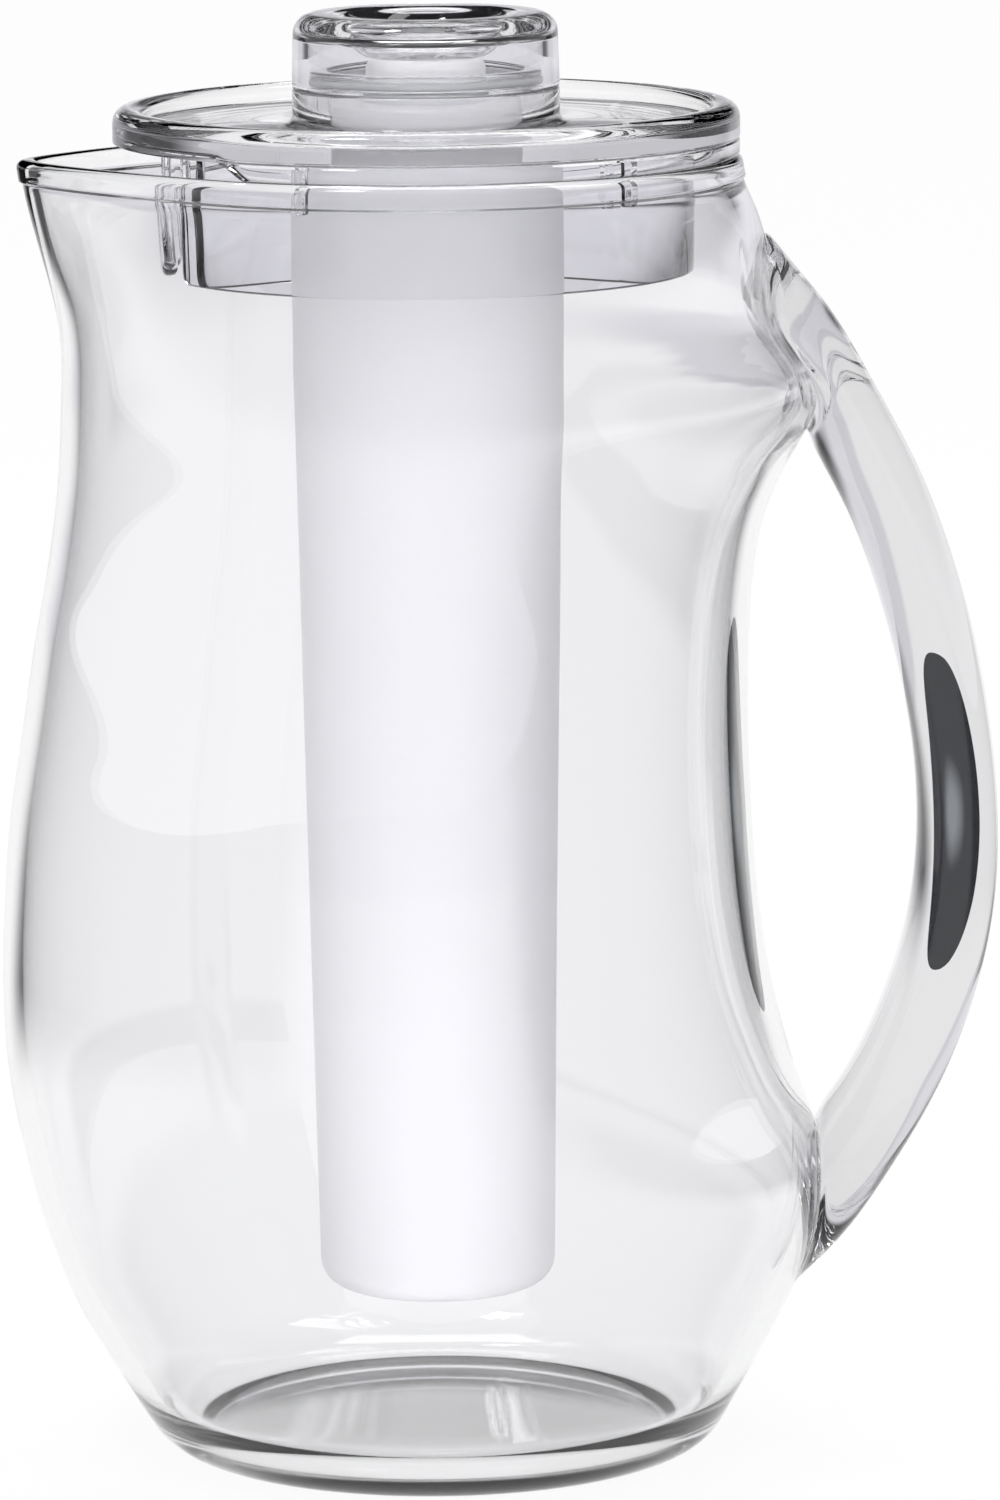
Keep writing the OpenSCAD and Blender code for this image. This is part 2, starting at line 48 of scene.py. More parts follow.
mm = 0.001
scene = bpy.context.scene
scene.view_settings.view_transform = "Standard"
# light crosses up to twenty acrylic surfaces before it leaves lid, knob and body
scene.cycles.max_bounces = 32
scene.cycles.transmission_bounces = 32
scene.cycles.glossy_bounces = 16


# the photograph's place, lens and slight roll
camera = {
    "lens": 212.2,  # mm on a 36 mm frame
    "distance": 1.765,  # from the pitcher's axis, metres
    "height": 0.4375,  # above the table, metres
    "pitchDeg": 9.494,
    "rollDeg": 0.596,
    "axisColumn": 432.7,  # where the pitcher's axis stands in the 1000 px wide frame
    "frameWidth": 1000,
    "frameHeight": 1500,
}

cameraData = bpy.data.cameras.new("photoCamera")
cameraData.lens = camera["lens"]
cameraData.sensor_width = 36
cameraData.shift_x = (camera["frameWidth"] / 2 - camera["axisColumn"]) / camera["frameHeight"]
cameraData.clip_start = 0.05
cameraData.clip_end = 60
cameraObject = bpy.data.objects.new("photoCamera", cameraData)
scene.collection.objects.link(cameraObject)
aim = Matrix.Rotation(math.radians(90 - camera["pitchDeg"]), 4, "X")
roll = Matrix.Rotation(math.radians(-camera["rollDeg"]), 4, "Z")
cameraObject.matrix_world = (
    Matrix.Translation((0, -camera["distance"], camera["height"])) @ aim @ roll
)
scene.camera = cameraObject


# sRGB hex to linear RGBA
def linear(hexColour):
    parts = [int(hexColour[i : i + 2], 16) / 255 for i in (1, 3, 5)]
    return [c / 12.92 if c <= 0.04045 else ((c + 0.055) / 1.055) ** 2.4 for c in parts] + [1]


def addNode(tree, kind, settings=None, links=None):
    node = tree.nodes.new(kind)
    for name, value in (settings or {}).items():
        if isinstance(name, int) or name in node.inputs:
            node.inputs[name].default_value = value
        else:
            setattr(node, name, value)
    for name, socket in (links or {}).items():
        tree.links.new(socket, node.inputs[name])
    return node


def newMaterial(name):
    material = bpy.data.materials.new(name)
    material.use_nodes = True
    material.node_tree.nodes.clear()
    return material, material.node_tree


def ease(t):
    u = np.clip(t, 0, 1)
    return u * u * (3 - 2 * u)


# smooth curve through [place, value] points, the same one that the frame's solids follow
def hermite(points, t):
    p = np.array(points, float)
    slope = np.empty(len(p))
    slope[1:-1] = (p[2:, 1] - p[:-2, 1]) / (p[2:, 0] - p[:-2, 0])
    slope[0] = (p[1, 1] - p[0, 1]) / (p[1, 0] - p[0, 0])
    slope[-1] = (p[-1, 1] - p[-2, 1]) / (p[-1, 0] - p[-2, 0])
    t = np.asarray(t, float)
    i = np.clip(np.searchsorted(p[:, 0], t, side="right") - 1, 0, len(p) - 2)
    w = p[i + 1, 0] - p[i, 0]
    u = (t - p[i, 0]) / w
    return (
        p[i, 1] * (1 + 2 * u) * (1 - u) ** 2
        + slope[i] * w * u * (1 - u) ** 2
        + p[i + 1, 1] * u * u * (3 - 2 * u)
        + slope[i + 1] * w * u * u * (u - 1)
    )


# the same curve sampled every step and evened over blur, so that gloss runs along it without kinks
def polished(points, step, blur):
    low, high = points[0][0], points[-1][0]
    count = int(round((high - low) / step)) + 1
    places = np.linspace(low, high, count)
    values = hermite(points, places)
    reach = int(3 * blur / step)
    padded = np.concatenate(
        [2 * values[0] - values[reach:0:-1], values, 2 * values[-1] - values[-2 : -reach - 2 : -1]]
    )
    weights = np.exp(-0.5 * (np.arange(-reach, reach + 1) * step / blur) ** 2)
    return places, np.convolve(padded, weights / weights.sum(), "valid")


# lowest and highest corner of a node of the frame, in millimetres
def boxOf(node):
    low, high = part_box(node)
    return [c / mm for c in low], [c / mm for c in high]


meshing = {
    "weldMm": 0.002,
    "sharpDeg": 35,
    "cornerSegments": 5,
    "tiny": 1e-6,  # an edge shorter than this has no corner to round
    "straight": 0.02,  # nor has a turn that is nearer than this to straight on or back
    "edgeShare": 0.499,
}


# welds, shades and rides one piece, whose points are in millimetres
def finishMesh(name, verts, faces, material, body, node, sharpDeg=meshing["sharpDeg"]):
    mesh = bpy.data.meshes.new(name)
    mesh.from_pydata([[c * mm for c in v] for v in verts], [], faces)
    bm = bmesh.new()
    bm.from_mesh(mesh)
    bmesh.ops.remove_doubles(bm, verts=bm.verts, dist=meshing["weldMm"] * mm)
    bmesh.ops.dissolve_degenerate(bm, edges=bm.edges, dist=meshing["weldMm"] * mm)
    bmesh.ops.recalc_face_normals(bm, faces=bm.faces)
    bm.to_mesh(mesh)
    bm.free()
    mesh.polygons.foreach_set("use_smooth", [True] * len(mesh.polygons))
    mesh.set_sharp_from_angle(angle=math.radians(sharpDeg))
    mesh.materials.append(material)
    piece = bpy.data.objects.new(name, mesh)
    scene.collection.objects.link(piece)
    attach(piece, body)
    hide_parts(node)
    print("built", name, len(mesh.vertices), "points")
    return piece


# closed outline of [r, z, radius] corners, with each corner rounded
def softened(corners, segments=meshing["cornerSegments"]):
    count, tiny, straight = len(corners), meshing["tiny"], meshing["straight"]
    line = []
    for i in range(count):
        here = np.array(corners[i][:2], float)
        before = np.array(corners[i - 1][:2], float) - here
        after = np.array(corners[(i + 1) % count][:2], float) - here
        a, b = np.linalg.norm(before), np.linalg.norm(after)
        radius = corners[i][2]
        if radius > 0 and a > tiny and b > tiny:
            before, after = before / a, after / b
            half = math.acos(max(-1, min(1, float(before @ after)))) / 2
            if straight < half < math.pi / 2 - straight:
                cut = min(radius / math.tan(half), a * meshing["edgeShare"], b * meshing["edgeShare"])
                start, end = here + before * cut, here + after * cut
                arc = cut * math.tan(half)
                centre = here + (before + after) / np.linalg.norm(before + after) * arc / math.sin(half)
                p, q = start - centre, end - centre
                span = math.acos(max(-1, min(1, float(p @ q) / (arc * arc))))
                for k in range(segments + 1):
                    u = k / segments
                    line.append(
                        centre + (math.sin((1 - u) * span) * p + math.sin(u * span) * q) / math.sin(span)
                    )
                continue
        line += [here] * (segments + 1)
    return line


# skin over closed outlines, one for each angle from the spout, in degrees
def lathe(profiles, angles):
    n = len(profiles[0])
    verts = []
    for profile, a in zip(profiles, angles):
        c, s = math.cos(math.radians(a)), math.sin(math.radians(a))
        verts += [(-r * c, -r * s, z) for r, z in profile]
    faces = []
    for k in range(len(angles)):
        m = (k + 1) % len(angles)
        for i in range(n):
            j = (i + 1) % n
            faces.append((k * n + i, k * n + j, m * n + j, m * n + i))
    return verts, faces


def turned(corners, steps, segments=meshing["cornerSegments"]):
    outline = softened(corners, segments)
    return lathe([outline] * steps, [360 * k / steps for k in range(steps)])


clear = {"colour": "#fefeff", "ior": 1.49, "depthColour": "#2e2e38", "scuffMm": 0.6, "scuffRough": 0.25}


# see-through plastic: a slow ripple bends its gloss, and a trace of grey in its depth darkens every wall
# that the eye looks along
def clearPlastic(name, greyPerMetre, rippleMm, rippleDepthMm, scuffTopMm=0.1):
    material, tree = newMaterial(name)
    place = addNode(tree, "ShaderNodeTexCoord")
    # scuffs where it stands, drawn coarser than real ones so that they show, none above scuffTopMm
    height = addNode(tree, "ShaderNodeSeparateXYZ", links={0: place.outputs["Object"]})
    low = addNode(
        tree,
        "ShaderNodeMapRange",
        {"From Min": scuffTopMm * mm, "From Max": 0.0, "To Max": clear["scuffRough"]},
        {"Value": height.outputs["Z"]},
    )
    scuffs = addNode(
        tree,
        "ShaderNodeTexNoise",
        {"Scale": 1 / (clear["scuffMm"] * mm), "Detail": 4.0, "Distortion": 1.5},
        {"Vector": place.outputs["Object"]},
    )
    worn = addNode(
        tree,
        "ShaderNodeMath",
        {"operation": "MULTIPLY"},
        {0: low.outputs["Result"], 1: scuffs.outputs["Fac"]},
    )
    ripple = addNode(
        tree,
        "ShaderNodeTexNoise",
        {"Scale": 1 / (rippleMm * mm), "Detail": 1.0, "Roughness": 0.4},
        {"Vector": place.outputs["Object"]},
    )
    bump = addNode(
        tree,
        "ShaderNodeBump",
        {"Strength": 1.0, "Distance": rippleDepthMm * mm},
        {"Height": ripple.outputs["Fac"]},
    )
    shader = addNode(
        tree,
        "ShaderNodeBsdfPrincipled",
        {"Base Color": linear(clear["colour"]), "IOR": clear["ior"], "Transmission Weight": 1.0},
        {"Roughness": worn.outputs[0], "Normal": bump.outputs["Normal"]},
    )
    depth = addNode(
        tree,
        "ShaderNodeVolumeAbsorption",
        {"Color": linear(clear["depthColour"]), "Density": greyPerMetre},
    )
    addNode(
        tree,
        "ShaderNodeOutputMaterial",
        links={"Surface": shader.outputs["BSDF"], "Volume": depth.outputs["Volume"]},
    )
    return material


# PMMA, blow moulded and flame polished: water clear, with a slow ripple that bends long highlights
clearBody = clearPlastic("mouldedAcrylic", greyPerMetre=8, rippleMm=38, rippleDepthMm=0.012, scuffTopMm=2.5)
# PMMA, cast and polished solid: thick, so its middle is a soft grey
clearHandle = clearPlastic("castAcrylic", greyPerMetre=11, rippleMm=26, rippleDepthMm=0.008)
# PMMA, injection moulded: its rolled edge and thin walls go dark where the eye looks along them
clearLid = clearPlastic("injectedAcrylic", greyPerMetre=3.5, rippleMm=14, rippleDepthMm=0.004)
# PMMA, injection moulded thick and buffed: the solid edge of the dish is its darkest part
clearKnob = clearPlastic("buffedAcrylic", greyPerMetre=5, rippleMm=9, rippleDepthMm=0.003)


soft = {"ior": 1.5, "scatterRadius": [1.0, 0.95, 0.9]}  # red spreads a little further than blue


# opaque to milky plastic: fine mould grain, slow clouding of its colour and light that spreads inside
def softPlastic(name, colour, roughness, grain, clouds, scatter):
    material, tree = newMaterial(name)
    place = addNode(tree, "ShaderNodeTexCoord")
    clouding = addNode(
        tree,
        "ShaderNodeTexNoise",
        {"Scale": 1 / (clouds["mm"] * mm), "Detail": 2.0},
        {"Vector": place.outputs["Object"]},
    )
    base = linear(colour)
    darker = [c * (1 - clouds["share"]) for c in base[:3]] + [1]
    milky = addNode(
        tree,
        "ShaderNodeMix",
        {"data_type": "RGBA", 6: base, 7: darker},  # sockets 6 and 7 are its two colours
        {0: clouding.outputs["Fac"]},
    )
    pits = addNode(
        tree,
        "ShaderNodeTexNoise",
        {"Scale": 1 / (grain["mm"] * mm), "Detail": 3.0},
        {"Vector": place.outputs["Object"]},
    )
    bump = addNode(
        tree,
        "ShaderNodeBump",
        {"Strength": 1.0, "Distance": grain["depthMm"] * mm},
        {"Height": pits.outputs["Fac"]},
    )
    shader = addNode(
        tree,
        "ShaderNodeBsdfPrincipled",
        {
            "Roughness": roughness,
            "IOR": soft["ior"],
            "Subsurface Weight": scatter["share"],
            "Subsurface Radius": soft["scatterRadius"],
            "Subsurface Scale": scatter["mm"] * mm,
        },
        {"Base Color": milky.outputs[2], "Normal": bump.outputs["Normal"]},
    )
    addNode(tree, "ShaderNodeOutputMaterial", links={"Surface": shader.outputs["BSDF"]})
    return material


# polypropylene, moulded in a blasted tool: frosted white, soft sheen, light creeps round its edges
frostedWhite = softPlastic(
    "frostedPolypropylene",
    "#efeef2",
    roughness=0.42,
    grain={"mm": 0.9, "depthMm": 0.02},  # blasted grain is nearer 0.1 mm, too fine to show
    clouds={"mm": 60, "share": 0.03},
    scatter={"mm": 4, "share": 0.6},
)
# polyethylene, injection moulded: plain milky white with a waxy shine
waxyWhite = softPlastic(
    "milkyPolyethylene",
    "#ececee",
    roughness=0.35,
    grain={"mm": 0.8, "depthMm": 0.01},  # drawn as coarse as it needs to show
    clouds={"mm": 20, "share": 0.03},
    scatter={"mm": 2.5, "share": 0.5},
)


rubber = {
    "colour": "#e9eaec",
    "roughness": 0.38,
    "ior": 1.41,
    "clearShare": 0.55,
    "bloomMm": 1.5,
    "bloomDepthMm": 0.01,
}


# silicone, compression moulded: cloudy and see-through only at its thin edges
def siliconeRubber():
    material, tree = newMaterial("cloudySilicone")
    place = addNode(tree, "ShaderNodeTexCoord")
    bloom = addNode(
        tree,
        "ShaderNodeTexNoise",
        {"Scale": 1 / (rubber["bloomMm"] * mm), "Detail": 3.0},
        {"Vector": place.outputs["Object"]},
    )
    bump = addNode(
        tree,
        "ShaderNodeBump",
        {"Strength": 1.0, "Distance": rubber["bloomDepthMm"] * mm},
        {"Height": bloom.outputs["Fac"]},
    )
    shader = addNode(
        tree,
        "ShaderNodeBsdfPrincipled",
        {
            "Base Color": linear(rubber["colour"]),
            "Roughness": rubber["roughness"],
            "IOR": rubber["ior"],
            "Transmission Weight": rubber["clearShare"],
        },
        {"Normal": bump.outputs["Normal"]},
    )
    addNode(tree, "ShaderNodeOutputMaterial", links={"Surface": shader.outputs["BSDF"]})
    return material


silicone = siliconeRubber()
print("materials made")


# pitcher: one closed skin, outside and inside, over the rings of its outline
body = {
    "height": boxOf("pitcher_body")[1][2],
    "bellyReach": 87.97,
    "bellyHalf": 82.35,
    "bulgeReach": 78.5,
    "footR": 55.4,
    "footRound": 5,
    "rimR": 63.4,
    "beadHeight": 4.2,
    "beadOut": 0.7,
    "spoutReach": 82.8,
    "wall": 4,
    "floor": 5,
    "floorRound": 9,
    "rimRound": 1.8,
    "pushUp": 1.2,  # hollow under the base, so that it stands on its edge
    "columns": 240,
    "crowding": 0.5,  # share by which columns crowd toward spout and handle
    "blur": 2.6,
    "curveStep": 0.5,
    "footRings": 8,
    "sideRings": 120,
    "beadRings": 6,
    "lipRings": 8,
    "floorRings": 10,
    "baseShares": [0.12, 0.3, 0.5, 0.7, 0.86, 0.95],
    "sharpDeg": 60,
}
# the outline's points, [height, reach] as shares
spoutSideShares = [
    [0.045, 0.716], [0.12, 0.845], [0.17, 0.902], [0.228, 0.949], [0.3, 0.988], [0.365, 0.997], [0.44, 0.988],
    [0.5, 0.971], [0.565, 0.94], [0.63, 0.91], [0.69, 0.876], [0.755, 0.85], [0.82, 0.84],
]
handleSideShares = [
    [0.045, 0.788], [0.08, 0.851], [0.12, 0.92], [0.165, 0.984], [0.212, 1.003], [0.25, 0.98], [0.29, 0.931],
    [0.335, 0.89], [0.38, 0.858], [0.44, 0.833], [0.5, 0.82], [0.565, 0.813], [0.63, 0.816], [0.68, 0.828],
    [0.725, 0.856], [0.765, 0.915], [0.8, 0.985], [0.822, 1], [0.85, 0.955], [0.872, 0.903], [0.891, 0.886],
]
frontShares = [
    [0.045, 0.758], [0.12, 0.885], [0.17, 0.944], [0.228, 0.98], [0.3, 0.998], [0.365, 1], [0.44, 0.993],
    [0.5, 0.982], [0.565, 0.966], [0.63, 0.947], [0.69, 0.928], [0.755, 0.908], [0.82, 0.885], [0.88, 0.853],
]
neckShares = [[0.91, 1.088], [0.94, 1.065], [0.965, 1.029], [0.984, 0.99], [1, 0.987]]
spoutTipShares = [
    [0.85, 0.89], [0.88, 0.899], [0.91, 0.921], [0.94, 0.947], [0.965, 0.968], [0.984, 0.98], [1, 0.986],
]
spout = {"startShare": 0.79, "fullShare": 0.95, "halfDeg": 50, "bluntDeg": 3.5, "hollow": 2.4}


def sized(shares, reach):
    return [[p[0] * body["height"], p[1] * reach] for p in shares]


foot = [[0, body["footR"]]]
neck = sized(neckShares, body["rimR"])
outlines = {
    "spout": foot + sized(spoutSideShares, body["bellyReach"]) + sized(spoutTipShares, body["spoutReach"]),
    "handle": foot + sized(handleSideShares, body["bulgeReach"]) + neck,
    "front": foot + sized(frontShares, body["bellyHalf"]) + neck,
}
evened = {side: polished(line, body["curveStep"], body["blur"]) for side, line in outlines.items()}


def roundedOff(r, up):
    up = np.asarray(up, float)
    return np.where(up >= r, 0, r - np.sqrt(np.maximum(0, r * r - (r - up) ** 2)))


def outerReach(side, z):
    places, values = evened[side]
    beadLow = body["height"] - body["beadHeight"]
    bead = body["beadOut"] * ease((z - beadLow + body["beadOut"]) / body["beadOut"])
    return (
        np.interp(z, places, values)
        + bead
        - roundedOff(body["footRound"], z)
        - roundedOff(body["rimRound"], body["height"] - z)
    )


def innerReach(side, z):
    places, values = evened[side]
    lean = np.interp(z, places, np.gradient(values, places))
    wall = body["wall"] * np.sqrt(1 + lean**2)
    return (
        np.interp(z, places, values)
        - wall
        - roundedOff(body["floorRound"], z - body["floor"])
        + roundedOff(body["rimRound"], body["height"] - z)
    )


# radius at angle a from the spout, in degrees, for rings at heights z
def sectionR(a, reach, z):
    a = np.asarray(a)[None, :]
    spoutR, handleR, frontR = (reach(side, z)[:, None] for side in ("spout", "handle", "front"))
    span = spout["fullShare"] - spout["startShare"]
    formed = ease((z / body["height"] - spout["startShare"]) / span)[:, None]
    c, s = np.cos(np.radians(a)), np.sin(np.radians(a))
    blunted = np.sqrt(a * a + spout["bluntDeg"] ** 2) - spout["bluntDeg"]
    beak = np.maximum(0, 1 - blunted / spout["halfDeg"]) ** spout["hollow"]
    oval = 1 / np.sqrt((c / spoutR) ** 2 + (s / frontR) ** 2)
    ahead = (1 - formed) * oval + formed * (frontR + (spoutR - frontR) * beak)
    behind = 1 / np.sqrt((c / handleR) ** 2 + (s / frontR) ** 2)
    return np.where(np.abs(a) > 90, behind, ahead)


def crowdedAngles(count, crowding):
    u = 2 * np.arange(count) / count - 1
    return 180 * u - crowding * 180 / math.pi * np.sin(math.pi * u)


def shares(n):
    return [k / n for k in range(1, n + 1)]


# heights on a quarter round of radius r
def quarter(r, n):
    return [r * (1 - math.cos(math.pi / 2 * k / n)) for k in range(n)]


# skin between rings of n points each
def tubeFaces(ringCount, n):
    return [
        (k * n + i, k * n + (i + 1) % n, (k + 1) * n + (i + 1) % n, (k + 1) * n + i)
        for k in range(ringCount - 1)
        for i in range(n)
    ]


# fan from a middle point to a ring of n points
def fanFaces(middle, ring, n):
    return [(middle, ring * n + i, ring * n + (i + 1) % n) for i in range(n)]


def buildBody():
    top, beadLow = body["height"], body["height"] - body["beadHeight"]
    lipLow, n = top - body["rimRound"], body["beadRings"]
    lip = [lipLow + body["rimRound"] * math.sin(math.pi / 2 * share) for share in shares(body["lipRings"])]
    outerZ = quarter(body["footRound"], body["footRings"])
    outerZ += list(np.linspace(body["footRound"], beadLow - body["beadOut"], body["sideRings"]))
    outerZ += [beadLow - body["beadOut"] * (1 - share) for share in shares(n)]
    outerZ += list(np.linspace(beadLow, lipLow, n))[1:] + lip
    innerZ = [body["floor"] + h for h in quarter(body["floorRound"], body["floorRings"])]
    innerZ += list(np.linspace(body["floor"] + body["floorRound"], lipLow, body["sideRings"])) + lip
    angles = crowdedAngles(body["columns"], body["crowding"])
    outerZ, innerZ = np.array(outerZ), np.array(innerZ)
    outer = sectionR(angles, outerReach, outerZ)
    inner = sectionR(angles, innerReach, innerZ)
    c, s = np.cos(np.radians(angles)), np.sin(np.radians(angles))
    rings = []
    for share in body["baseShares"]:  # under the base, from its middle out
        rings.append((outer[0] * share, np.full(len(c), body["pushUp"] * (1 - share**4))))
    rings += [(outer[k], np.full(len(c), z)) for k, z in enumerate(outerZ)]
    rings += [(inner[k], np.full(len(c), innerZ[k])) for k in range(len(innerZ) - 1, -1, -1)]
    rings += [(inner[0] * share, np.full(len(c), body["floor"])) for share in reversed(body["baseShares"])]
    verts = [(-r * ci, -r * si, z) for ringR, ringZ in rings for r, ci, si, z in zip(ringR, c, s, ringZ)]
    faces = tubeFaces(len(rings), len(c))
    for ring, height in ((0, body["pushUp"]), (len(rings) - 1, body["floor"])):
        verts.append((0, 0, height))
        faces += fanFaces(len(verts) - 1, ring, len(c))
    return finishMesh(
        "clearPitcher", verts, faces, clearBody, "pitcher", "pitcher_body", body["sharpDeg"]
    )


buildBody()


# handle: a solid bar, cemented on at both roots
handle = {
    "reach": boxOf("handle")[1][0],
    "thick": 16.4,
    "depth": 23,
    "rootDepth": 29,
    "cement": 0.25,
    "rootRise": 0.5,
    "rises": 44,  # the least rise from the pitcher's side grows by rootRise at each of so many steps
    "square": 2.5,
    "flareShare": 0.22,
    "around": 80,
    "along": 180,
    "capRings": 9,
    "blur": 0.3,
    "curveStep": 0.02,
    "sharpDeg": 50,
}
# outer and inner edge: the way out from the pitcher's side to that edge's reach, and the height
handleShares = [
    [0.014, 0.938, 0.012, 0.788], [0.129, 0.907, 0.206, 0.77], [0.259, 0.872, 0.373, 0.751],
    [0.348, 0.812, 0.568, 0.72], [0.691, 0.742, 0.733, 0.673], [0.874, 0.652, 0.884, 0.606],
    [0.966, 0.562, 0.971, 0.546], [1, 0.484, 1, 0.486], [0.981, 0.412, 0.966, 0.428],
    [0.886, 0.342, 0.85, 0.373], [0.692, 0.274, 0.63, 0.319], [0.397, 0.214, 0.368, 0.282],
    [0.166, 0.161, 0.134, 0.261], [0, 0.122, 0.009, 0.247],
]


# x of the pitcher's side behind points of the handle
def sideX(points):
    reachAt, halfAt = outerReach("handle", points[:, 2]), outerReach("front", points[:, 2])
    return reachAt * np.sqrt(1 - (points[:, 1] / halfAt) ** 2) + handle["cement"]


def handleEdges():
    edges = []
    for column, reach in ((0, handle["reach"]), (2, handle["reach"] - handle["thick"])):
        line = []
        for k, row in enumerate(handleShares):
            side = float(hermite(outlines["handle"], row[column + 1] * body["height"]))
            line.append([k, side + row[column] * (reach - side)])
        edges.append(polished(line, handle["curveStep"], handle["blur"]))
        heights = [[k, row[column + 1] * body["height"]] for k, row in enumerate(handleShares)]
        edges.append(polished(heights, handle["curveStep"], handle["blur"]))
    return edges


def buildHandle():
    last = len(handleShares) - 1
    edges = handleEdges()

    def ring(share, size=1.0):
        outX, outZ, inX, inZ = (np.interp(share * last, *edge) for edge in edges)
        flare = 1 - ease(min(share, 1 - share) / handle["flareShare"])
        half = (handle["depth"] + (handle["rootDepth"] - handle["depth"]) * flare) / 2
        a = -2 * math.pi * np.arange(handle["around"]) / handle["around"]
        across, deep = np.cos(a), np.sin(a)
        across, deep = (np.sign(v) * np.abs(v) ** (2 / handle["square"]) for v in (across, deep))
        c, y = size * across / 2, size * half * deep
        return np.stack([(outX + inX) / 2 + c * (outX - inX), y, (outZ + inZ) / 2 + c * (outZ - inZ)], 1)

    def onSide(points):
        return np.stack([sideX(points), points[:, 1], points[:, 2]], 1)

    def offSide(points, share):
        rise = handle["rootRise"] * handle["rises"] * min(share, 1 - share)
        return np.stack([np.maximum(points[:, 0], sideX(points) + rise), points[:, 1], points[:, 2]], 1)

    cap = shares(handle["capRings"])
    rings = [onSide(ring(0, size)) for size in cap]
    for k in range(1, handle["along"]):
        rings.append(offSide(ring(k / handle["along"]), k / handle["along"]))
    rings += [onSide(ring(1, size)) for size in reversed(cap)]
    verts = [tuple(p) for points in rings for p in points]
    faces = tubeFaces(len(rings), handle["around"])
    for share, edge in ((0, 0), (1, len(rings) - 1)):
        verts.append(tuple(onSide(ring(share, 0.0)[:1])[0]))
        faces += fanFaces(len(verts) - 1, edge, handle["around"])
    return finishMesh(
        "loopHandle", verts, faces, clearHandle, "pitcher", "handle",
        handle["sharpDeg"],
    )


buildHandle()


# lid: one turned skin whose outline changes with the angle from the spout
lid = {
    "rimZ": body["height"],
    "seatGap": 0.05,  # air film over the pitcher's rim
    "r": 62.8,
    "ringT": 6,
    "ringH": 10.4,
    "ringTopRound": 2.98,
    "ringRound": 2.9,
    "ringFoot": 1.0,
    "crease": 0.6,
    "creaseRound": 1.3,
    "creaseRoot": 0.2,
    "creaseFoot": 0.3,
    "ringLift": 0.1,
    "bandH": 3.7,
    "bandT": 4.2,
    "plateT": 3,
    "bandSetback": 0.1,
    "bandRound": 0.6,
    "bandInner": 0.5,
    "bandInnerShare": 0.3,  # of the band's height, at most
    "bandGapDeg": 49,
    "bandRampDeg": 7,
    "skirtR": 53.4,
    "skirtT": 2,
    "skirtDrop": 23,
    "pourDeg": 27,
    "skirtCorner": 2,
    "fingerW": 3.8,
    "fingerT": 3,
    "fingerDeg": 9.7,
    "fingerSetback": 0.3,
    "fingerRound": 1.44,
    "hangShare": 0.2,  # of a skirt's or finger's drop, the most that its round end takes
    "ribW": 1.7,
    "ribOut": 2.4,
    "ribDrop": 6.5,
    "ribsDeg": [64, 135],
    "collarR": 26.8,
    "collarH": 7.1,
    "collarFillet": 2.0,
    "spigotR": 23.2,
    "spigotH": 4,
    "spigotFoot": 0.2,
    "grooveR": 21.65,
    "grooveH": 2.1,
    "grooveLip": 0.15,
    "grooveRound": 0.3,
    "boreR": 19.6,
    "socketR": 24.5,
    "socketDrop": 6.3,
    "edge": 0.4,  # round of every edge without a size of its own
    "outerEdge": 0.5,
    "columns": 240,
    "cornerColumns": 8,
    "rampColumns": 12,
    "ribColumns": 7,
    "sheerDeg": 1e-4,  # half the width of a sheer step from column to column
    "clearDeg": 0.12,
    "digits": 5,  # to which angles of columns are told apart
    "sharpDeg": 38,
}


# how much a rounded end is short of its full drop, at a distance from its middle line
def dropAt(distance, half, radius):
    inward = max(0.0, min(radius, radius - (half - abs(distance))))
    return radius - math.sqrt(max(0.0, radius * radius - inward * inward))


